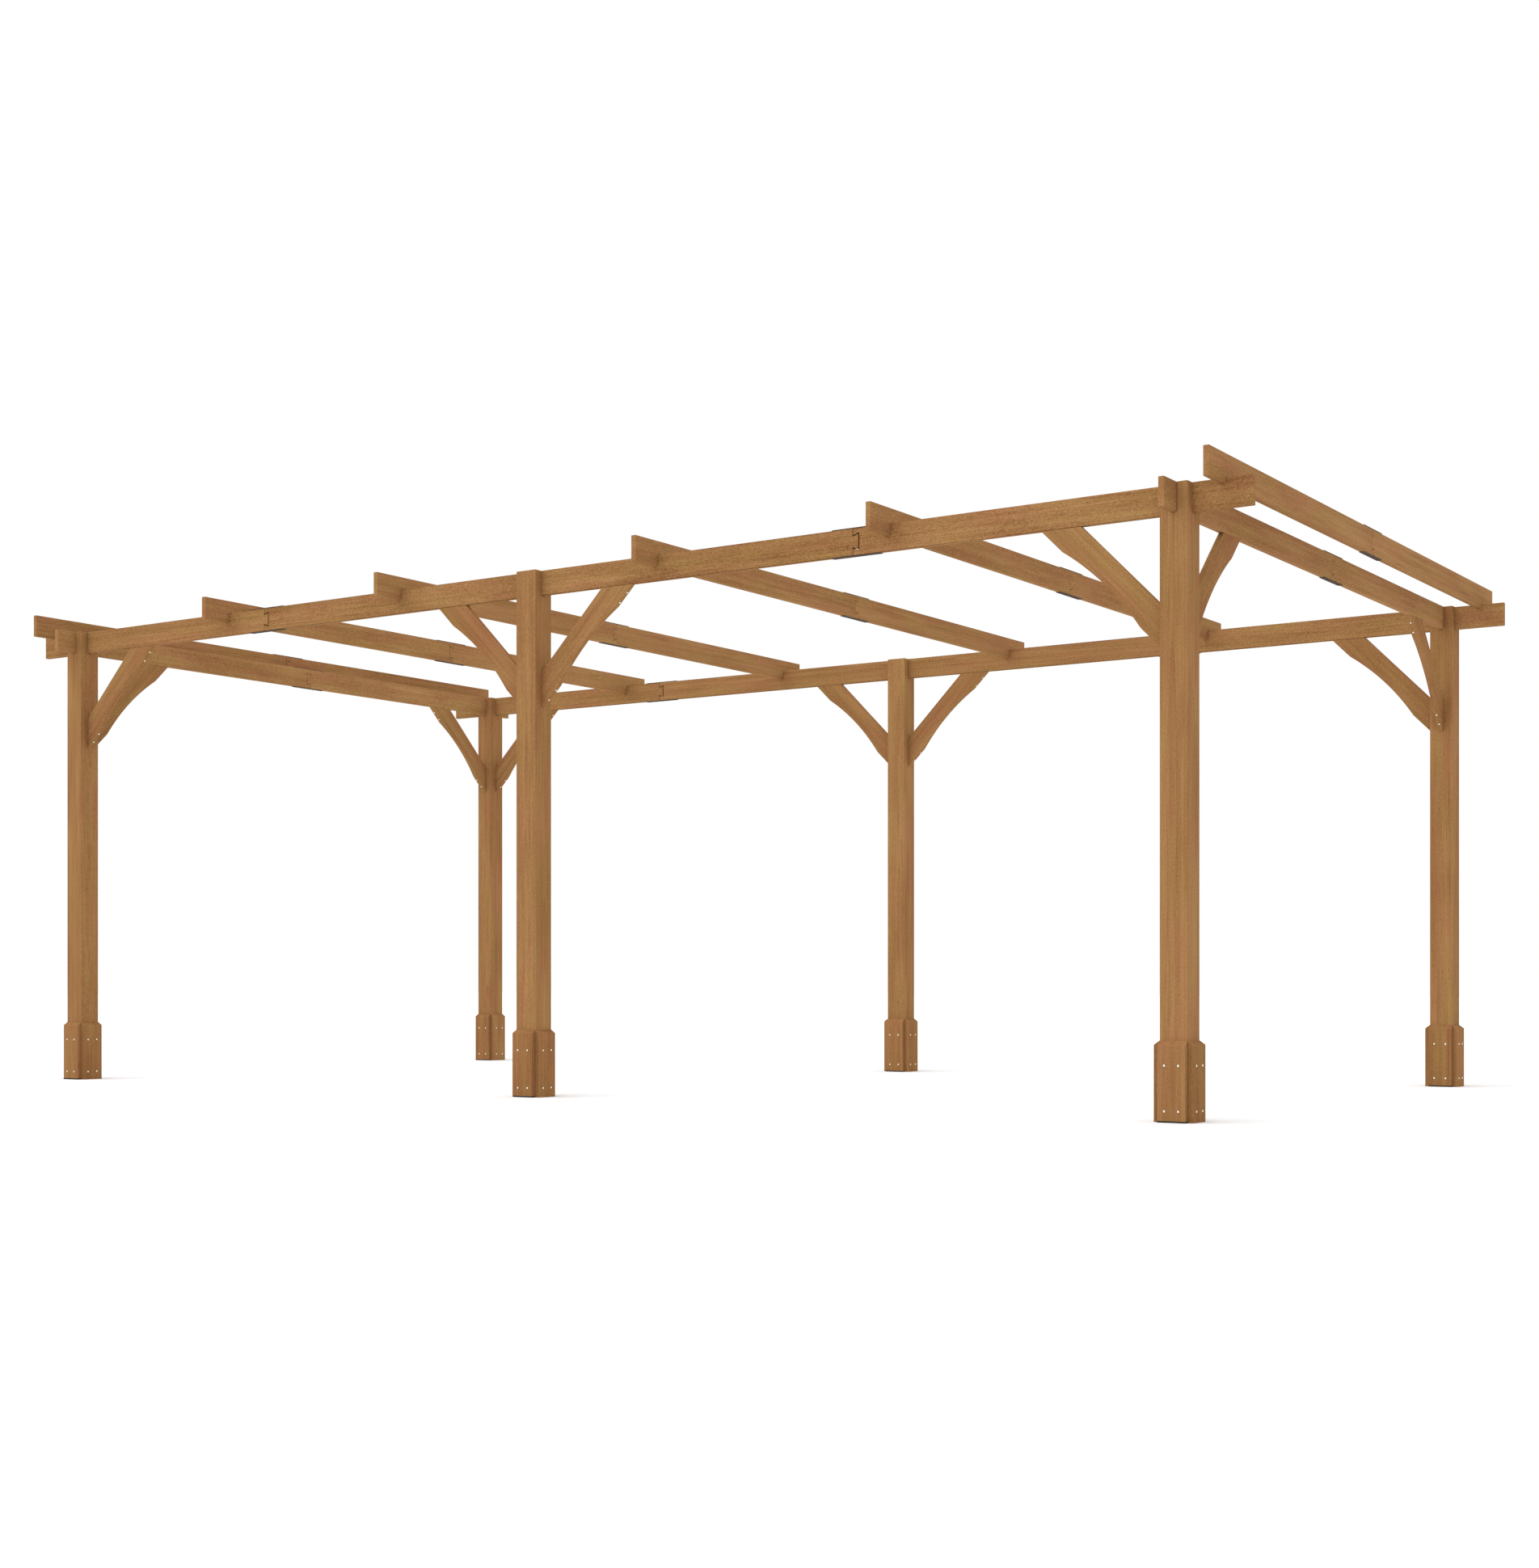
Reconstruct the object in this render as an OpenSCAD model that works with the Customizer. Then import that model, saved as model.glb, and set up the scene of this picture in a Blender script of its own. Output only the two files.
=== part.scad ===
// Open timber pergola. Six square posts with board skirts carry two long beams and two cross beams
// in slots at their heads. Six rafters sit across the long beams, and twelve hollow-backed knee
// braces stiffen the corners. Beams and rafters are joined along their length by dovetails, each
// covered by a steel plate above and below. Sizes are in millimetres. The origin is at the centre of
// the plan on the ground: X runs along the long beams, Y from the front to the rear, Z up.

/* [Layout] */
// Distance between the centres of the end posts, along the long beams
post_span_x = 6728; // [5200:1:8400]
// Distance between the centres of the front and rear posts
post_span_y = 3504; // [2400:1:4400]
// Height from the ground to the underside of the beams
clear_height = 2430; // [1900:1:3000]

/* [Posts] */
// Side of each square post
post_side = 120; // [90:1:160]
// Thickness of the steel plate under each post
foot_t = 6; // [3:1:12]
// Height of the skirt boards above the ground
skirt_h = 327; // [200:1:500]
// Thickness of the skirt boards
skirt_t = 26; // [15:1:35]
// How far the top of a skirt board slopes down to its outer face
skirt_slope = 18; // [5:1:40]
// How much narrower a skirt board is than its post on each side
skirt_inset = 0.5; // [0.2:0.1:5]

/* [Beams] */
// Thickness of the beams, rafters and braces
board_t = 25; // [18:1:40]
// Height of the long beams and cross beams
beam_h = 120; // [100:1:180]
// Length of a long beam beyond the centre of an end post
beam_overhang = 314; // [250:1:500]
// Distance of each long beam's splices from the middle posts' centres
beam_splice_x = 1848; // [1400:1:2200]
// Clearance of a beam or rafter on each side in its slot, lap or notch
fit_gap = 0.5; // [0.2:0.1:2]

/* [Rafters] */
// Height of the rafters
rafter_h = 120; // [100:1:180]
// Length of a rafter or cross beam beyond the centres of the posts
rafter_overhang = 182; // [120:1:400]
// Depth of the notch under a rafter where it sits on a long beam
rafter_notch = 23; // [10:1:40]
// Depth of the housing in a long beam for each inner rafter
rafter_housing = 31.5; // [5:0.5:60]
// Distance of an end rafter's centre from the end posts' centres
end_rafter_offset = 188; // [120:1:240]
// Distances of the two left inner rafters from the left splices
left_rafter_offsets = [-298, 966]; // [-600:1:1200]
// Distances of the two right inner rafters from the right splices
right_rafter_offsets = [-1098, 167]; // [-1200:1:600]

/* [Splices] */
// Length of a dovetail
tail_l = 29; // [20:1:60]
// Height of a dovetail at its root
tail_root_h = 50; // [30:1:60]
// Height of a dovetail at its tip
tail_tip_h = 70; // [50:1:80]
// Clearance round a dovetail in its socket
tail_gap = 3; // [0.2:0.1:4]
// Length of a splice plate
plate_l = 250; // [150:1:300]
// Thickness of a splice plate
plate_t = 3; // [2:0.5:6]

/* [Braces] */
// Distance from the post, and below the beam, at which a brace's upper edge meets them
brace_leg = 369; // [250:1:600]
// How much further from the post a brace's underside meets the beam
brace_beam_w = 182; // [120:1:250]
// How much further below the beam a brace's underside meets the post
brace_post_w = 175; // [120:1:250]
// Length of the hollow in a brace's underside
brace_hollow_l = 490; // [200:1:600]
// Depth of the hollow in a brace's underside
brace_hollow = 25; // [10:1:50]

/* [Hidden] */

SIDES = ["front", "rear"];
BAYS = ["left", "middle", "right"];

TIMBER = "#A0774B";
STEEL = "#4A423A";

// Centres of the posts: one X for each bay name, one Y for each side name
post_x = [-post_span_x / 2, 0, post_span_x / 2];
post_y = [-post_span_y / 2, post_span_y / 2];
post_top = clear_height + beam_h;

// Ends of the long beams, and of the rafters and cross beams
beam_end_x = post_span_x / 2 + beam_overhang;
rafter_end_y = post_span_y / 2 + rafter_overhang;

slot_w = board_t + 2 * fit_gap;
lap_h = beam_h / 2;

// Where the inner and the end rafters cross the long beams
inner_rafter_x = [
    for (offset = left_rafter_offsets) -beam_splice_x + offset,
    for (offset = right_rafter_offsets) beam_splice_x + offset
];
end_rafter_x = post_span_x / 2 + end_rafter_offset;
rafter_x = concat([-end_rafter_x], inner_rafter_x, [end_rafter_x]);
end_rafter_z = post_top - rafter_notch;
inner_rafter_z = post_top - rafter_housing - rafter_notch;

// Where a brace's underside meets the beam and the post, and the circle of its hollow. under_q is the
// mean distance of the underside from the corner of post and beam
brace_beam_leg = brace_leg + brace_beam_w;
brace_post_leg = brace_leg + brace_post_w;
under_q = (brace_beam_leg + brace_post_leg) / 2 / sqrt(2);
hollow_half = brace_hollow_l / 2;
hollow_r = (hollow_half * hollow_half + brace_hollow * brace_hollow) / (2 * brace_hollow);
hollow_fn = 360;

// Margin by which a cut runs past the face that it opens
cut = 1;

// Stand an outline up: x stays along X or turns to run along Y, y becomes Z, and it gets a thickness
module upright_x(thickness) {
    rotate([90, 0, 0]) linear_extrude(thickness, center = true) children();
}

module upright_y(thickness) {
    rotate([90, 0, 90]) linear_extrude(thickness, center = true) children();
}

module square_post(x, y, cross_slot) {
    color(TIMBER)
    difference() {
        translate([x - post_side / 2, y - post_side / 2, foot_t])
            cube([post_side, post_side, post_top - foot_t]);
        translate([x - post_side / 2 - cut, y - slot_w / 2, clear_height])
            cube([post_side + 2 * cut, slot_w, beam_h + cut]);
        if (cross_slot)
            translate([x - slot_w / 2, y - post_side / 2 - cut, clear_height])
                cube([slot_w, post_side + 2 * cut, beam_h + cut]);
    }
}

// One skirt board on the +X face of a post at the origin, from height bottom up to the skirt's top
module skirt_board(bottom) {
    outline = [
        [post_side / 2, bottom],
        [post_side / 2 + skirt_t, bottom],
        [post_side / 2 + skirt_t, skirt_h - skirt_slope],
        [post_side / 2, skirt_h]
    ];
    upright_x(post_side - 2 * skirt_inset) polygon(outline);
}

// The left and right boards run down to the ground, the front and rear ones stand on the foot plate
module skirt(x, y) {
    color(TIMBER)
    translate([x, y, 0]) {
        for (turn = [0, 180]) rotate(turn) skirt_board(0);
        for (turn = [90, 270]) rotate(turn) skirt_board(foot_t);
    }
}

module foot_plate(x, y) {
    depth = post_side + 2 * skirt_t;
    color(STEEL)
    translate([x - post_side / 2, y - depth / 2, 0])
        cube([post_side, depth, foot_t]);
}

// A knee brace from the +X face of a post centred on the origin up to the beam above it
module brace() {
    centre = (under_q - brace_hollow + hollow_r) / sqrt(2);
    outline = [
        [brace_leg, 0],
        [brace_beam_leg, 0],
        [0, -brace_post_leg],
        [0, -brace_leg]
    ];
    color(TIMBER)
    translate([post_side / 2, 0, clear_height])
    difference() {
        upright_x(board_t) polygon(outline);
        translate([centre, 0, -centre]) rotate([90, 0, 0])
            cylinder(h = board_t + 2 * cut, r = hollow_r, center = true, $fn = hollow_fn);
    }
}

// Two braces at one post, turned to the directions given
module brace_pair(x, y, turns) {
    translate([x, y, 0]) for (turn = turns) rotate(turn) brace();
}

// Dovetail with its root at x = 0, halfway up a member of height h, grown by gap
module tail_outline(h, gap) {
    root = tail_root_h / 2 + gap;
    tip = tail_tip_h / 2 + gap;
    outline = [
        [-cut, -root],
        [0, -root],
        [tail_l + gap, -tip],
        [tail_l + gap, tip],
        [0, root],
        [-cut, root]
    ];
    translate([0, h / 2]) polygon(outline);
}

// Straight member with its underside at 0 from a to b, with a socket at a or a dovetail at b
module member_outline(a, b, h, socket, tail) {
    difference() {
        translate([a, 0]) square([b - a, h]);
        if (socket) translate([a, 0]) tail_outline(h, tail_gap);
    }
    if (tail) translate([b, 0]) tail_outline(h, 0);
}

// A gap as wide as a slot at each place, from height low up to height high
module notches(places, low, high) {
    for (at = places) translate([at - slot_w / 2, low]) square([slot_w, high - low]);
}

// One of the three pieces of a long beam. The dovetails point to the right.
module long_beam(y, bay) {
    cuts = [-beam_end_x, -beam_splice_x - tail_l / 2, beam_splice_x - tail_l / 2, beam_end_x];
    color(TIMBER)
    translate([0, y, clear_height])
    upright_x(board_t)
    difference() {
        member_outline(cuts[bay], cuts[bay + 1], beam_h, bay > 0, bay < 2);
        notches([post_x[0], post_x[2]], lap_h, beam_h + cut);
        notches(inner_rafter_x, beam_h - rafter_housing, beam_h + cut);
    }
}

// One half of a member that runs from front to rear, spliced in the middle and notched from below.
// The rear half has the dovetail, which points to the front.
module crossing_half(side, h, notch_h) {
    cuts = [-rafter_end_y, -tail_l / 2, rafter_end_y];
    upright_y(board_t)
    difference() {
        mirror([1, 0]) member_outline(cuts[1 - side], cuts[2 - side], h, side == 0, side == 1);
        notches(post_y, -cut, notch_h);
    }
}

module cross_beam(x, side) {
    color(TIMBER) translate([x, 0, clear_height]) crossing_half(side, beam_h, lap_h);
}

module rafter(i, side) {
    z = i == 0 || i == 5 ? end_rafter_z : inner_rafter_z;
    color(TIMBER) translate([rafter_x[i], 0, z]) crossing_half(side, rafter_h, rafter_notch);
}

// Plates above and below a splice in a member of height h that runs along X
module plate_pair(h) {
    color(STEEL)
    for (z = [-plate_t, h])
        translate([-plate_l / 2, -board_t / 2, z]) cube([plate_l, board_t, plate_t]);
}

module splice_plates_long_beams() {
    for (y = post_y, x = [-beam_splice_x, beam_splice_x])
        translate([x, y, clear_height]) plate_pair(beam_h);
}

module splice_plates_cross_beams() {
    for (x = [post_x[0], post_x[2]]) translate([x, 0, clear_height]) rotate(90) plate_pair(beam_h);
}

module splice_plates_rafters() {
    for (x = inner_rafter_x) translate([x, 0, inner_rafter_z]) rotate(90) plate_pair(rafter_h);
    for (x = [-end_rafter_x, end_rafter_x])
        translate([x, 0, end_rafter_z]) rotate(90) plate_pair(rafter_h);
}

// Directions of a post's braces: both ways along X at a middle post, inwards along X and Y at a corner
function brace_turns(side, bay) =
    bay == 1 ? [0, 180] : [bay == 0 ? 0 : 180, side == 0 ? 90 : 270];

for (side = [0, 1], bay = [0:2]) {
    square_post(post_x[bay], post_y[side], bay != 1);
    skirt(post_x[bay], post_y[side]);
    brace_pair(post_x[bay], post_y[side], brace_turns(side, bay));
    long_beam(post_y[side], bay);
}
for (end = [0, 1], side = [0, 1])
    cross_beam(post_x[2 * end], side);
for (i = [0:5], side = [0, 1])
    rafter(i, side);
for (x = post_x, y = post_y) foot_plate(x, y);  // foot_plates
splice_plates_long_beams();
splice_plates_cross_beams();
splice_plates_rafters();
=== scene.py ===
"""Looks of the wooden pergola: eased, grained timber with countersunk screws, and painted steel plates.

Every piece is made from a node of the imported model, so each one lies where the CAD says. Metres.
"""

import math
import random

import bmesh
import bpy
from mathutils import Matrix, Vector


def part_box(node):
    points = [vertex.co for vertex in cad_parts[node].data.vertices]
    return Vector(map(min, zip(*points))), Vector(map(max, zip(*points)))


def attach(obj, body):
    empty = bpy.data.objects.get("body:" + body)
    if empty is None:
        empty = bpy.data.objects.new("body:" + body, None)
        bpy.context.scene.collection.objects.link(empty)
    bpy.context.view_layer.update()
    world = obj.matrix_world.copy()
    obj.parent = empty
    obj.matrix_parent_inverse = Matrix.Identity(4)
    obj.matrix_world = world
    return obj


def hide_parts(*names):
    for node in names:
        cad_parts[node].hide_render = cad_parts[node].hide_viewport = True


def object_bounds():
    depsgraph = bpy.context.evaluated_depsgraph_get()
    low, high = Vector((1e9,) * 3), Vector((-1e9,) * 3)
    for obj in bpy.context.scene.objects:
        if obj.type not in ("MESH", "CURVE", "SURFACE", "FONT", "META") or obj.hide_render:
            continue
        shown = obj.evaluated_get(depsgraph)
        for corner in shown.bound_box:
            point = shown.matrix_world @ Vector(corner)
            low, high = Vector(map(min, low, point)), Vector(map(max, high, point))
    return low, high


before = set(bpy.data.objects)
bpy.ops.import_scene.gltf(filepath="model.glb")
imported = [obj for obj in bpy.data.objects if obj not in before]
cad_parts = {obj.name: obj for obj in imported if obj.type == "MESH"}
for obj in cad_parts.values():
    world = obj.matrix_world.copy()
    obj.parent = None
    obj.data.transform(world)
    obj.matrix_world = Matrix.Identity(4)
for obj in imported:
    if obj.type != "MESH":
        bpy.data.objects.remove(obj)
cad_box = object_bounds()

X, Y, Z = Vector((1, 0, 0)), Vector((0, 1, 0)), Vector((0, 0, 1))
CORNERS = [f"{side}_{bay}" for side in ("front", "rear") for bay in ("left", "middle", "right")]

# CAD vertices nearer to each other than this are one, and CAD faces within this angle are one plane
MERGE_DISTANCE = 1e-5
COPLANAR_ANGLE = math.radians(0.05)
# Rounding of the timber's arrises and of the steel plates' edges, where they turn by more than an angle
POST_EASE = 0.0025
BOARD_EASE = 0.0020
STEEL_EASE = 0.0006
EASED_ANGLE = math.radians(20)
# Faces that meet at less than this angle are shaded as one curve
CREASE = math.radians(8)
SCREW_CREASE = math.radians(42)
# How far a splice reaches along a board from the board's end
JOINT_REACH = 0.033
# Timber with both sides over this is a post, and the rest are boards
POST_SIDE_OVER = 0.05

# Turned heads have two sides for each of the twelve corners of their cross recess
HEAD_SIDES = 24
FIRST_SIDE_ANGLE = math.radians(-15)
RECESS_TAPER = 0.6

# Raised countersunk screws of the skirts and braces. The dome gives shares of the head's radius and
# how far the dome has dropped there. A recess gives its reach, half its arms' width and its depth.
HEAD_R = 0.0056
HEAD_DOME = ((0.60, 0.0), (0.78, 0.0003), (0.92, 0.0007), (1.0, 0.0013))
HEAD_EDGE_Z = -0.0008
HEAD_TIP = (HEAD_R * 0.4, -0.0048)
HEAD_RECESS = (0.0028, 0.0007, 0.0022)
SKIRT_HEAD_RISE = 0.0009
BRACE_HEAD_RISE = 0.0014
# The countersink's radius at the face, what the cutter adds above it, and the hole under the cone
COUNTERSINK_R = 0.0074
CUTTER_FLARE = 0.002
HOLE_R = 0.0030
HOLE_CONE_Z = -0.0052
HOLE_FLOOR_Z = -0.0075
# Where the screws of the skirts and braces are
SKIRT_SCREW_Z = (0.045, 0.227)
SKIRT_SCREW_HALF_GAP = 0.030
BRACE_SCREWS_FROM_TIP = (0.051, 0.113)

# Pan-head screws of the splice plates: shares of the head's radius and height, from the top down
PAN_R = 0.0045
PAN_H = 0.0022
PAN_PROFILE = ((0.72, 1.0), (0.93, 0.75), (1.0, 0.4))
PAN_SINK_Z = -0.0003
PAN_RECESS = (0.0021, 0.0006, 0.0012)
PLATE_SCREWS_FROM_MIDDLE = (-0.105, -0.045, 0.045, 0.105)
# Plates nearer to each other than this in plan are the pair of one splice
PAIR_DISTANCE = 0.01


# ---------------------------------------------------------------- mesh helpers

def cad_mesh(node):
    """The node's mesh with its coplanar triangles merged."""
    bm = bmesh.new()
    bm.from_mesh(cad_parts[node].data)
    bmesh.ops.remove_doubles(bm, verts=bm.verts, dist=MERGE_DISTANCE)
    bmesh.ops.dissolve_limit(bm, angle_limit=COPLANAR_ANGLE, verts=bm.verts, edges=bm.edges)
    bmesh.ops.recalc_face_normals(bm, faces=bm.faces)
    return bm


def extent(points):
    low = Vector(map(min, zip(*points)))
    high = Vector(map(max, zip(*points)))
    return low, high


def islands(bm):
    """Lists of the vertices that hang together, in the order of their centres."""
    left, found = set(bm.verts), []
    while left:
        heap, group = [left.pop()], []
        while heap:
            vert = heap.pop()
            group.append(vert)
            for edge in vert.link_edges:
                other = edge.other_vert(vert)
                if other in left:
                    left.remove(other)
                    heap.append(other)
        found.append(group)

    def centre(group):
        low, high = extent([vert.co for vert in group])
        return tuple(round(c, 4) for c in (low + high) / 2)

    return sorted(found, key=centre)


def ease(bm, width, at_joint=None):
    """Rounds the outer edges and marks each rounding's crown: at a joint as the place of painted joint
    shade, else as an arris.
    """
    arris = bm.verts.layers.float.new("arris")
    seam = bm.verts.layers.float.new("seam")
    sharp = [
        e for e in bm.edges if e.is_manifold and e.is_convex and e.calc_face_angle() > EASED_ANGLE
    ]
    made = bmesh.ops.bevel(
        bm, geom=sharp, offset=width, segments=2, profile=0.5, affect="EDGES", clamp_overlap=True
    )
    rounded = set(made["faces"])
    for vert in made["verts"]:
        if all(face in rounded for face in vert.link_faces):
            vert[seam if at_joint and at_joint(vert.co) else arris] = 1.0


def new_object(name, bm, material):
    """An object with the bmesh's shape, which it uses up."""
    mesh = bpy.data.meshes.new(name)
    bm.to_mesh(mesh)
    bm.free()
    mesh.materials.append(material)
    made = bpy.data.objects.new(name, mesh)
    bpy.context.scene.collection.objects.link(made)
    return made


def new_piece(name, bm, material):
    piece = new_object(name, bm, material)
    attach(piece, "root")
    return piece


def shade(piece, crease=CREASE):
    piece.data.shade_smooth()
    piece.data.set_sharp_from_angle(angle=crease)


def drill(piece, cutter):
    """Takes the cutter's shapes out of the piece and lines the holes with the cutter's own timber, which is
    darkened as painted shade in the recesses.
    """
    tool = new_object("cutter", cutter, HOLE_TIMBER_PAINTED_SHADE)
    modifier = piece.modifiers.new("holes", "BOOLEAN")
    modifier.operation = "DIFFERENCE"
    modifier.solver = "EXACT"
    modifier.material_mode = "TRANSFER"
    modifier.object = tool
    bpy.context.view_layer.update()
    evaluated = piece.evaluated_get(bpy.context.evaluated_depsgraph_get())
    drilled = bpy.data.meshes.new_from_object(evaluated)
    piece.modifiers.clear()
    drilled.name = piece.name
    piece.data = drilled
    bpy.data.objects.remove(tool)


# ---------------------------------------------------------------- screws

def turned(bm, place, profile, recess=None):
    """A closed turned shape through the (radius, height) pairs, with a cross recess in its top if asked."""
    n = HEAD_SIDES
    angles = [FIRST_SIDE_ANGLE + k * math.tau / n for k in range(n)]
    rings = [
        [bm.verts.new(place @ Vector((r * math.cos(a), r * math.sin(a), z))) for a in angles]
        for r, z in profile
    ]
    for upper, lower in zip(rings, rings[1:]):
        for k in range(n):
            bm.faces.new((upper[k], lower[k], lower[(k + 1) % n], upper[(k + 1) % n]))
    bm.faces.new(rings[-1][::-1])
    top = rings[0]
    if not recess:
        bm.faces.new(top)
        return
    reach, half, depth = recess
    z = profile[0][1]
    quarter = [(reach, -half), (reach, half), (half, half)]
    outline = []
    for turn in range(4):
        c, s = round(math.cos(turn * math.pi / 2)), round(math.sin(turn * math.pi / 2))
        outline += [(c * x - s * y, s * x + c * y) for x, y in quarter]
    rim = [bm.verts.new(place @ Vector((x, y, z))) for x, y in outline]
    floor = [
        bm.verts.new(place @ Vector((RECESS_TAPER * x, RECESS_TAPER * y, z - depth)))
        for x, y in outline
    ]
    m = len(rim)
    for k in range(m):
        after = (k + 1) % m
        bm.faces.new((rim[k], top[2 * k], top[2 * k + 1], rim[after]))
        bm.faces.new((rim[after], top[2 * k + 1], top[(2 * k + 2) % n]))
        bm.faces.new((rim[k], rim[after], floor[after], floor[k]))
    bm.faces.new(floor)


def seat(point, normal, chance):
    """A place on a surface: Z along the normal, turned about it by chance."""
    turn = chance.uniform(0, math.tau)
    upright = normal.to_track_quat("Z", "Y").to_matrix().to_4x4()
    return Matrix.Translation(point) @ upright @ Matrix.Rotation(turn, 4, "Z")


def countersunk(screws, holes, point, normal, rise, chance):
    place = seat(point, normal, chance)
    head = [(HEAD_R * share, rise - drop) for share, drop in HEAD_DOME]
    turned(screws, place, head + [(HEAD_R, HEAD_EDGE_Z), HEAD_TIP], HEAD_RECESS)
    hole = [
        (COUNTERSINK_R + CUTTER_FLARE, CUTTER_FLARE),
        (COUNTERSINK_R, 0),
        (HOLE_R, HOLE_CONE_Z),
        (HOLE_R, HOLE_FLOOR_Z),
    ]
    turned(holes, place, hole)


def pan_head(screws, point, normal, chance):
    head = [(PAN_R * share, PAN_H * height) for share, height in PAN_PROFILE]
    turned(screws, seat(point, normal, chance), head + [(PAN_R, PAN_SINK_Z)], PAN_RECESS)


# ---------------------------------------------------------------- materials

# Outputs of the Attribute, Texture Coordinate and Noise nodes, and the Mix node's colour sockets
ATTRIBUTE_VECTOR, ATTRIBUTE_VALUE = 1, 2
OBJECT_PLACE = 3
NOISE_COLOUR = 1
MIX_A, MIX_B, MIX_RESULT = 6, 7, 2


class Tree:
    """Short words for building a material's nodes."""

    def __init__(self, name):
        self.material = bpy.data.materials.new(name)
        self.material.use_nodes = True
        self.nodes = self.material.node_tree.nodes
        self.links = self.material.node_tree.links
        self.shader = self.nodes["Principled BSDF"]

    def put(self, socket, value):
        if isinstance(value, bpy.types.NodeSocket):
            self.links.new(value, socket)
        else:
            socket.default_value = value

    def node(self, kind, values=(), out=0, **settings):
        made = self.nodes.new(kind)
        for name, value in settings.items():
            setattr(made, name, value)
        for name, value in dict(values).items():
            self.put(made.inputs[name], value)
        return made.outputs[out]

    def math(self, operation, a, b=0.0, c=0.0):
        return self.node("ShaderNodeMath", {0: a, 1: b, 2: c}, operation=operation)

    def vector_math(self, operation, *vectors, out=0):
        values = dict(enumerate(vectors))
        return self.node("ShaderNodeVectorMath", values, out=out, operation=operation)

    def sum(self, first, *parts):
        """first plus each part times its weight."""
        for value, weight in parts:
            first = self.math("MULTIPLY_ADD", value, weight, first)
        return first

    def noise(self, vector, scales, detail=2.0, rough=0.5, out=0):
        """Noise about zero, from -0.5 to 0.5, or a colour from 0 to 1. Scales are in cycles per metre."""
        scaled = self.vector_math("MULTIPLY", vector, scales)
        values = {"Vector": scaled, "Scale": 1.0, "Detail": detail, "Roughness": rough}
        made = self.node("ShaderNodeTexNoise", values, out=out)
        return made if out == NOISE_COLOUR else self.math("SUBTRACT", made, 0.5)

    def even_noise(self, vector, scale, detail=2.0, rough=0.5):
        return self.noise(vector, (scale, scale, scale), detail, rough)

    def ramp(self, value, stops):
        made = self.nodes.new("ShaderNodeValToRGB")
        while len(made.color_ramp.elements) < len(stops):
            made.color_ramp.elements.new(0.5)
        for element, (at, colour) in zip(made.color_ramp.elements, stops):
            element.position = at
            element.color = (*colour, 1.0)
        self.put(made.inputs[0], value)
        return made.outputs[0]

    def span(self, value, low, high, to_low=0.0, to_high=1.0, smooth=False):
        values = {0: value, 1: low, 2: high, 3: to_low, 4: to_high}
        kind = "SMOOTHSTEP" if smooth else "LINEAR"
        return self.node("ShaderNodeMapRange", values, interpolation_type=kind)

    def attribute(self, name, out=ATTRIBUTE_VALUE):
        return self.node("ShaderNodeAttribute", out=out, attribute_name=name)

    def object_place(self):
        return self.node("ShaderNodeTexCoord", out=OBJECT_PLACE)

    def bump(self, height, distance):
        values = {"Strength": 1.0, "Distance": distance, "Height": height}
        self.put(self.shader.inputs["Normal"], self.node("ShaderNodeBump", values))


# Stained softwood, dark to light, whose darkest stops also take the painted shade at the long beams'
# joints; then the bare timber in the screw holes, made darker as painted shade in the recesses
TIMBER_STOPS = [
    (0.00, (0.080, 0.032, 0.011)),
    (0.14, (0.132, 0.056, 0.021)),
    (0.35, (0.252, 0.120, 0.043)),
    (0.50, (0.313, 0.157, 0.060)),
    (0.65, (0.375, 0.198, 0.080)),
    (1.00, (0.487, 0.287, 0.128)),
]
HOLE_STOPS_PAINTED_SHADE = [(0.20, (0.040, 0.016, 0.006)), (0.80, (0.110, 0.046, 0.016))]
# Distance between growth rings
RING_PITCH = 0.0042
# How much lighter each kind of board is than the middle tone, and how far single boards stray
TONES = {"post": 0.00, "long": 0.01, "cross": 0.05, "rafter": 0.02, "skirt": -0.06, "braces": -0.04}
TONE_SPREAD = 0.03
# How strongly each kind of board is flecked
FLECKS = {"post": 0.50, "long": 0.90, "cross": 0.90, "rafter": 0.70, "skirt": 0.42, "braces": 0.60}
# How far the pith may lie from a post's middle, and from a board's across it and through it
POST_PITH = 0.03
BOARD_PITH_ACROSS = 0.04
BOARD_PITH_THROUGH = (0.03, 0.09)
# Each board starts somewhere in this length of grain
GRAIN_LENGTH = 40


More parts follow.
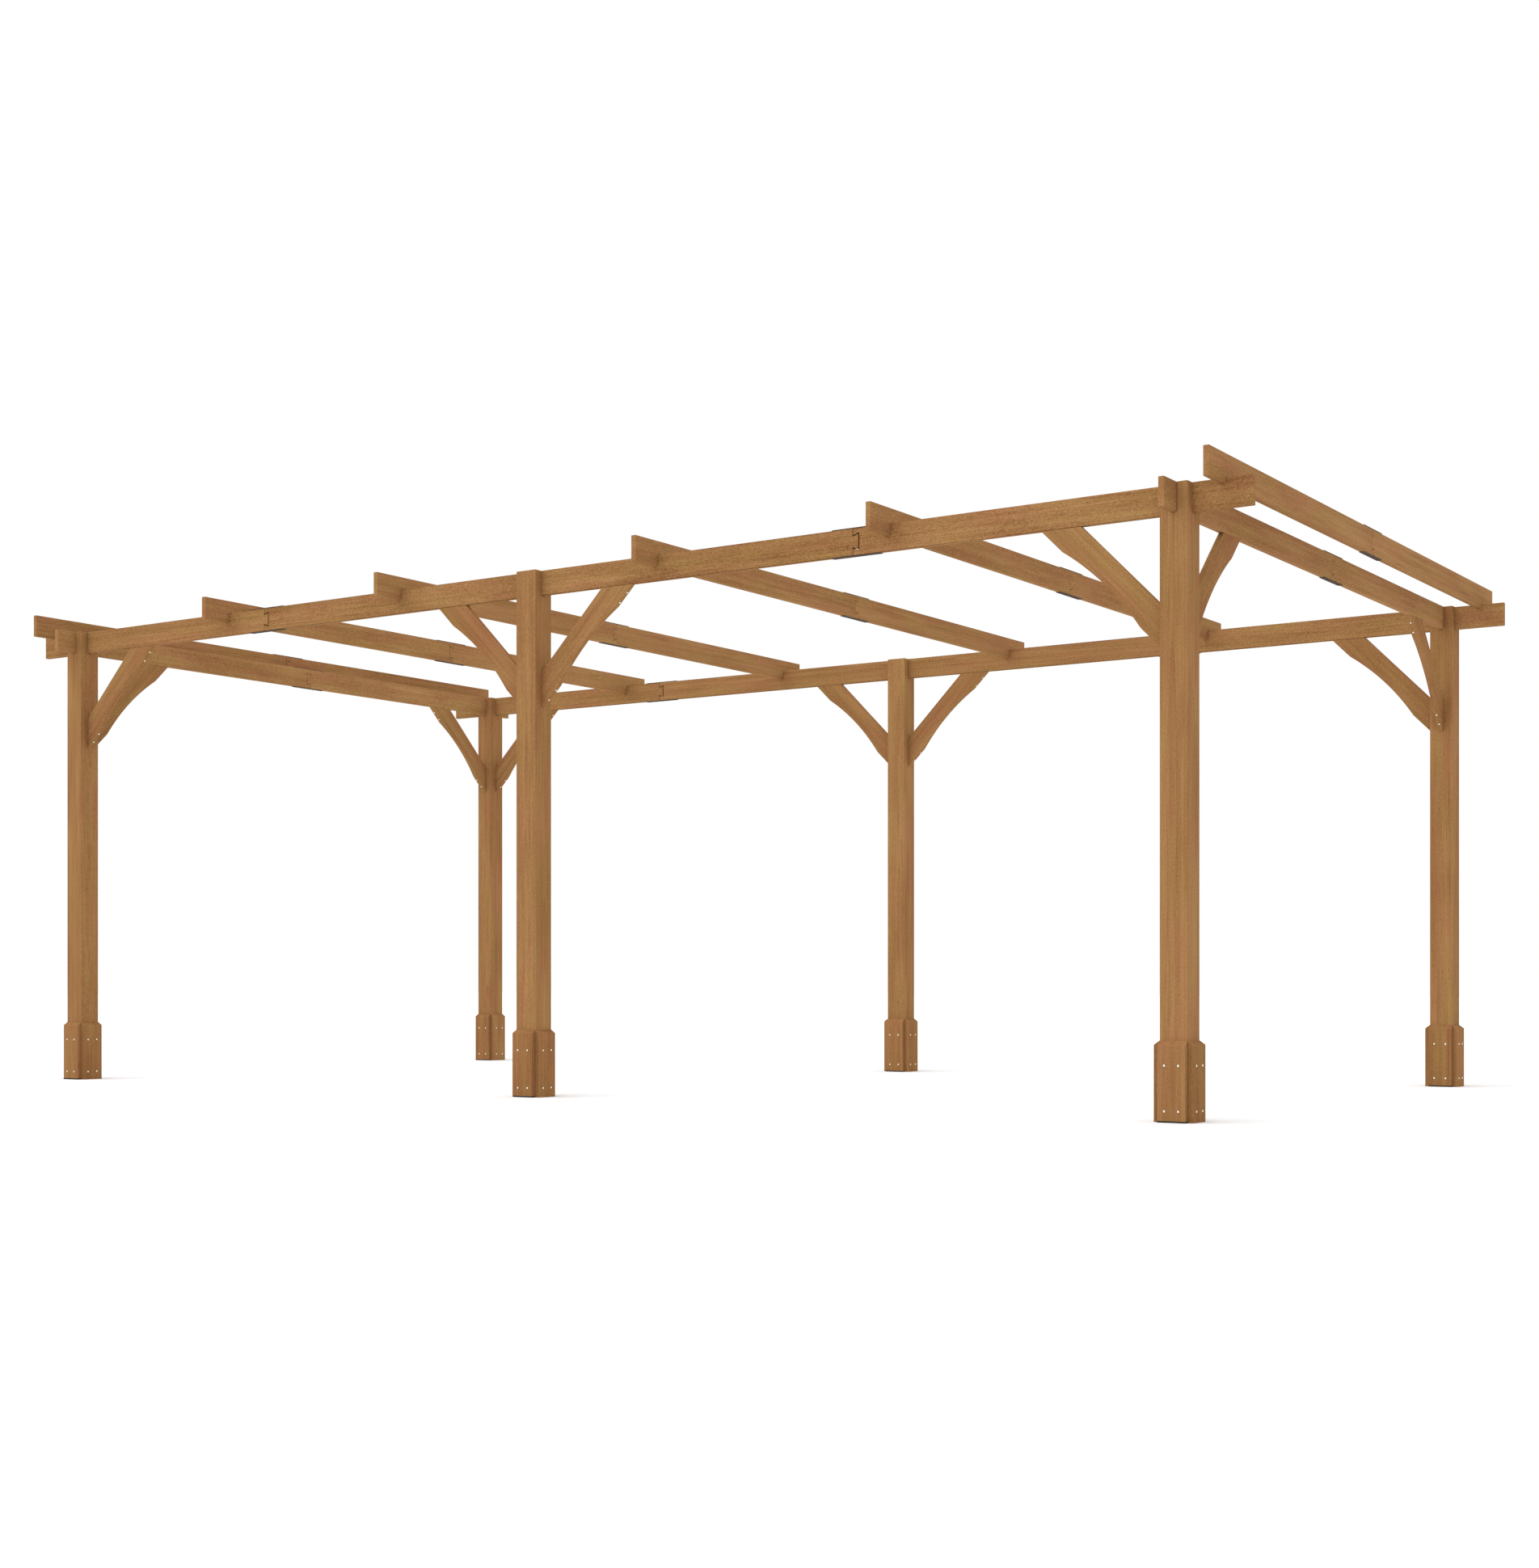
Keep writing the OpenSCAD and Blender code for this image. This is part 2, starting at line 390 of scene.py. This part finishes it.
def timber_material(name, stops):
    """Rings about each board's own pith, long streaks, flecks and fine fibre, in the board's own axes, with
    a painted highlight on the eased edges and painted shade at the marked joints.
    """
    t = Tree(name)
    grain = t.attribute("grain", ATTRIBUTE_VECTOR)
    tone = t.attribute("tone")
    flecked = t.attribute("flecked")
    arris = t.attribute("arris")
    seam = t.attribute("seam")

    def pattern(along, across, detail=2.0, rough=0.5, out=0):
        return t.noise(grain, (along, across, across), detail, rough, out)

    wander = pattern(0.55, 3.5, out=NOISE_COLOUR)
    wander = t.vector_math("SUBTRACT", wander, (0.5, 0.5, 0.5))
    section = t.vector_math("MULTIPLY", grain, (0.0, 1.0, 1.0))
    section = t.vector_math("MULTIPLY_ADD", wander, (0.0, 0.045, 0.045), section)
    radius = t.vector_math("LENGTH", section, out=1)
    uneven = pattern(0.9, 22.0)
    ring = t.math("FRACT", t.sum(t.math("DIVIDE", radius, RING_PITCH), (uneven, 1.6)))
    late = t.math(
        "SUBTRACT",
        t.span(ring, 0.35, 0.88, smooth=True),
        t.span(ring, 0.90, 1.00, smooth=True),
    )

    streak = pattern(1.1, 48.0, detail=3.0, rough=0.55)
    thread = pattern(3.5, 190.0, detail=3.0, rough=0.6)
    cloud = pattern(2.0, 9.0)
    fleck = pattern(110.0, 220.0, rough=0.6)
    fibre = pattern(14.0, 900.0, rough=0.6)

    level = t.sum(
        0.53,
        (late, -0.07),
        (streak, 0.36),
        (thread, 0.30),
        (cloud, 0.34),
        (t.math("MULTIPLY", fleck, flecked), 1.0),
        (fibre, 0.30),
        (tone, 1.0),
        # Eased edges a little lighter: a painted highlight where the arris catches light
        (arris, 0.06),
        # Joint edges much darker: painted shade of the gap between spliced boards
        (seam, -1.30),
    )
    drift = pattern(2.6, 16.0, detail=3.0)
    hue = t.node("ShaderNodeHueSaturation", {
        "Hue": t.span(drift, -0.25, 0.25, 0.488, 0.512), "Color": t.ramp(level, stops),
    })
    t.put(t.shader.inputs["Base Color"], hue)
    t.put(t.shader.inputs["Roughness"], t.span(t.sum(late, (fibre, 1.5)), -0.5, 1.5, 0.80, 0.62))
    t.shader.inputs["Specular IOR Level"].default_value = 0.02
    t.bump(t.sum(late, (fibre, 1.2), (fleck, 0.8)), distance=0.00020)
    return t.material


def steel_material(name, low, high, wear, specular):
    """Painted steel: a faint orange peel, uneven gloss and paint rubbed off the edges."""
    t = Tree(name)
    place = t.object_place()
    arris = t.attribute("arris")
    patch = t.even_noise(place, 14.0, detail=5.0, rough=0.65)
    peel = t.even_noise(place, 700.0, detail=1.0)
    dust = t.even_noise(place, 160.0, detail=3.0, rough=0.7)
    paint = t.ramp(t.sum(0.5, (patch, 1.1), (dust, 0.5)), [(0.2, low), (0.8, high)])
    rubbed = t.span(t.sum(arris, (patch, 1.4)), 1.05, 1.25, smooth=True)
    mixed = t.node(
        "ShaderNodeMix", {"Factor": rubbed, MIX_A: paint, MIX_B: (*wear, 1.0)}, out=MIX_RESULT,
        data_type="RGBA",
    )
    t.put(t.shader.inputs["Base Color"], mixed)
    t.put(t.shader.inputs["Roughness"], t.span(t.sum(patch, (dust, 0.6)), -0.4, 0.4, 0.40, 0.62))
    t.put(t.shader.inputs["Metallic"], rubbed)
    t.shader.inputs["Specular IOR Level"].default_value = specular
    t.bump(peel, distance=0.00006)
    return t.material


def zinc_material():
    """Yellow-passivated zinc of the screw heads, patchy and a little scuffed."""
    t = Tree("passivated_zinc")
    place = t.object_place()
    patch = t.even_noise(place, 90.0, detail=3.0, rough=0.6)
    scuff = t.noise(place, (1500.0, 300.0, 900.0))
    colour = t.ramp(
        t.sum(0.5, (patch, 1.2), (scuff, 0.4)),
        [(0.2, (0.86, 0.70, 0.46)), (0.8, (1.00, 0.92, 0.72))],
    )
    t.put(t.shader.inputs["Base Color"], colour)
    t.put(t.shader.inputs["Roughness"], t.span(t.sum(patch, (scuff, 0.8)), -0.4, 0.4, 0.26, 0.46))
    t.shader.inputs["Metallic"].default_value = 1.0
    t.bump(scuff, distance=0.00003)
    return t.material


def floor_material():
    """Plain pale floor with a very faint unevenness."""
    t = Tree("pale_floor")
    patch = t.even_noise(t.object_place(), 0.6, detail=3.0)
    colour = t.ramp(t.sum(0.5, (patch, 1.0)), [(0.0, (0.86, 0.86, 0.86)), (1.0, (0.90, 0.90, 0.90))])
    t.put(t.shader.inputs["Base Color"], colour)
    t.shader.inputs["Roughness"].default_value = 0.9
    t.shader.inputs["Specular IOR Level"].default_value = 0.0
    return t.material


TIMBER = timber_material("stained_timber", TIMBER_STOPS)
# The screw holes' timber is darkened as painted shade in the recesses
HOLE_TIMBER_PAINTED_SHADE = timber_material("timber_in_holes", HOLE_STOPS_PAINTED_SHADE)
PLATE_STEEL = steel_material(
    "plate_steel", (0.075, 0.056, 0.045), (0.120, 0.092, 0.076), (0.30, 0.27, 0.24), specular=0.0
)
FOOT_STEEL = steel_material(
    "foot_steel", (0.012, 0.013, 0.009), (0.026, 0.027, 0.021), (0.22, 0.22, 0.20), specular=0.25
)
ZINC = zinc_material()


# ---------------------------------------------------------------- timber

class Board:
    """A board or post: its corners and box, and the axes along its grain, across it and through it.

    A brace is a board that also knows its post's centre, and it points away from that post.
    """

    def __init__(self, points, post_centre=None):
        self.points = points
        self.low, self.high = extent(points)
        self.centre = (self.low + self.high) / 2
        size = self.high - self.low
        self.thick = X if size.x < size.y else Y
        if post_centre is None:
            self.along = max((X, Y, Z), key=size.dot)
        else:
            level = Y if self.thick == X else X
            self.away = level * math.copysign(1, (self.centre - post_centre).dot(level))
            self.along = (self.away + Z).normalized()
        self.across = self.along.cross(self.thick)
        self.is_post = min(size.x, size.y) > POST_SIDE_OVER


def boards_of(bm, post_centre=None):
    return [Board([vert.co.copy() for vert in group], post_centre) for group in islands(bm)]


def add_grain(piece, boards, chance):
    """Writes each board's own grain axes, tone and share of flecks to the mesh."""
    kind = piece.name.split("_")[1]
    bm = bmesh.new()
    bm.from_mesh(piece.data)
    grain = bm.verts.layers.float_vector.new("grain")
    tone = bm.verts.layers.float.new("tone")
    flecked = bm.verts.layers.float.new("flecked")
    for group, board in zip(islands(bm), boards, strict=True):
        if board.is_post:
            pith_across = chance.uniform(-POST_PITH, POST_PITH)
            pith_through = chance.uniform(-POST_PITH, POST_PITH)
        else:
            pith_across = chance.uniform(-BOARD_PITH_ACROSS, BOARD_PITH_ACROSS)
            pith_through = chance.choice((-1, 1)) * chance.uniform(*BOARD_PITH_THROUGH)
        start = chance.uniform(0, GRAIN_LENGTH)
        own_tone = TONES[kind] + chance.uniform(-TONE_SPREAD, TONE_SPREAD)
        for vert in group:
            p = vert.co - board.centre
            vert[grain] = (
                p.dot(board.along) + start,
                p.dot(board.across) - pith_across,
                p.dot(board.thick) - pith_through,
            )
            vert[tone] = own_tone
            vert[flecked] = FLECKS[kind]
    bm.to_mesh(piece.data)
    bm.free()


def joint_test(board):
    """Tells whether a point is at an end of the board that is spliced to the next one."""
    low, high = board.low.dot(board.along), board.high.dot(board.along)
    whole = cad_box[1].dot(board.along)
    spliced = [end for end in (low, high) if abs(end) < whole - JOINT_REACH]
    return lambda point: any(abs(point.dot(board.along) - end) < JOINT_REACH for end in spliced)


def timber_piece(node, width, post_centre=None, shade_joints=False):
    """The node's timber with its edges eased, with painted shade at its spliced joints if asked, and the
    boards in it. It has no grain yet.
    """
    bm = cad_mesh(node)
    boards = boards_of(bm, post_centre)
    ease(bm, width, joint_test(boards[0]) if shade_joints else None)
    piece = new_piece("timber_" + node, bm, TIMBER)
    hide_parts(node)
    return piece, boards


def centre_of(node):
    low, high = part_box(node)
    return (low + high) / 2


def skirt_screws(board, post_centre, screws, holes, chance):
    """Four screws in the outer face."""
    out = board.thick * math.copysign(1, (board.centre - post_centre).dot(board.thick))
    face = board.centre + out * abs((board.high - board.low).dot(board.thick)) / 2
    for z in SKIRT_SCREW_Z:
        for side in (-1, 1):
            point = face + board.across * side * SKIRT_SCREW_HALF_GAP
            place = Vector((point.x, point.y, z))
            countersunk(screws, holes, place, out, SKIRT_HEAD_RISE, chance)


def brace_screws(board, screws, holes, chance):
    """Two screws near each end of the underside, square to it."""
    top = max(board.points, key=lambda p: p.dot(board.away))
    foot = min(board.points, key=lambda p: p.z)
    run = (top - foot) - board.thick * (top - foot).dot(board.thick)
    along = run.normalized()
    under = (board.away - along * board.away.dot(along)).normalized()
    foot = foot + board.thick * (board.centre - foot).dot(board.thick)
    for from_tip in BRACE_SCREWS_FROM_TIP:
        for at in (from_tip, run.length - from_tip):
            countersunk(screws, holes, foot + along * at, under, BRACE_HEAD_RISE, chance)


chance = random.Random(11)

for corner in CORNERS:
    piece, boards = timber_piece("post_" + corner, POST_EASE)
    add_grain(piece, boards, chance)
    shade(piece)

screws = bmesh.new()
for corner in CORNERS:
    post = centre_of("post_" + corner)
    piece, boards = timber_piece("skirt_" + corner, BOARD_EASE)
    holes = bmesh.new()
    for board in boards:
        skirt_screws(board, post, screws, holes, chance)
    drill(piece, holes)
    add_grain(piece, boards, chance)
    shade(piece)
shade(new_piece("screws_skirts", screws, ZINC), SCREW_CREASE)

screws = bmesh.new()
for corner in CORNERS:
    post = centre_of("post_" + corner)
    piece, boards = timber_piece("braces_" + corner, BOARD_EASE, post)
    holes = bmesh.new()
    for board in boards:
        brace_screws(board, screws, holes, chance)
    drill(piece, holes)
    add_grain(piece, boards, chance)
    shade(piece)
shade(new_piece("screws_braces", screws, ZINC), SCREW_CREASE)

# The long beams' joints get painted shade along their eased edges, for the shade in the joints' gaps. Those
# of the cross beams and rafters hardly show, so they get none
members = [f"long_beam_{corner}" for corner in CORNERS]
members += [f"cross_beam_{end}_{side}" for end in ("left", "right") for side in ("front", "rear")]
members += [f"rafter_{i}_{side}" for i in range(1, 7) for side in ("front", "rear")]
for node in members:
    piece, boards = timber_piece(node, BOARD_EASE, shade_joints=node.startswith("long"))
    add_grain(piece, boards, chance)
    shade(piece)


# ---------------------------------------------------------------- steel

def steel_piece(node, material):
    bm = cad_mesh(node)
    ease(bm, STEEL_EASE)
    piece = new_piece("steel_" + node, bm, material)
    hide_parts(node)
    shade(piece)


def plate_screws(node, screws, chance):
    """Pan-head screws on the outer face of each plate of a pair above and below a splice."""
    bm = cad_mesh(node)
    plates = boards_of(bm)
    bm.free()
    for plate in plates:
        pair = [
            other.centre.z for other in plates
            if (other.centre - plate.centre).xy.length < PAIR_DISTANCE
        ]
        up = plate.centre.z > sum(pair) / len(pair)
        z = plate.high.z if up else plate.low.z
        for shift in PLATE_SCREWS_FROM_MIDDLE:
            point = plate.centre + plate.along * shift
            pan_head(screws, Vector((point.x, point.y, z)), Z if up else -Z, chance)


steel_piece("foot_plates", FOOT_STEEL)
screws = bmesh.new()
for node in ("splice_plates_long_beams", "splice_plates_cross_beams", "splice_plates_rafters"):
    steel_piece(node, PLATE_STEEL)
    plate_screws(node, screws, chance)
shade(new_piece("screws_splice_plates", screws, PLATE_STEEL), SCREW_CREASE)


# ---------------------------------------------------------------- floor, light and camera

FLOOR_HALF = 60.0
floor_bm = bmesh.new()
floor_bm.faces.new([
    floor_bm.verts.new((x * FLOOR_HALF, y * FLOOR_HALF, cad_box[0].z))
    for x, y in ((-1, -1), (1, -1), (1, 1), (-1, 1))
])
floor = new_object("floor", floor_bm, floor_material())

world = bpy.data.worlds.new("studio")
world.use_nodes = True
world.node_tree.nodes["Background"].inputs["Color"].default_value = (1.0, 1.0, 1.0, 1.0)
world.node_tree.nodes["Background"].inputs["Strength"].default_value = 1.0
scene = bpy.context.scene
scene.world = world
scene.view_settings.view_transform = "Standard"

# A wide, soft sun, high on the left in front of the pergola
KEY_FROM = Vector((-0.30, -0.42, 0.86))
key = bpy.data.lights.new("key", "SUN")
key.energy = 1.1
key.angle = math.radians(60)
key_object = bpy.data.objects.new("key", key)
key_object.rotation_mode = "QUATERNION"
key_object.rotation_quaternion = KEY_FROM.to_track_quat("Z", "Y")
scene.collection.objects.link(key_object)

# The camera stands as high as a low tripod, beyond the front right corner, and looks level
CAMERA_PLACE = (6.8761, -9.8802, 0.5718)
CAMERA_HEADING = math.radians(33.97)
camera = bpy.data.cameras.new("camera")
camera.sensor_fit = "HORIZONTAL"
camera.sensor_width = 36.0
camera.lens = 50.89
camera.shift_x = -0.0019
camera.shift_y = 0.1267
camera.clip_end = 200.0
camera_object = bpy.data.objects.new("camera", camera)
camera_object.location = CAMERA_PLACE
camera_object.rotation_euler = (math.pi / 2, 0.0, CAMERA_HEADING)
scene.collection.objects.link(camera_object)
scene.camera = camera_object
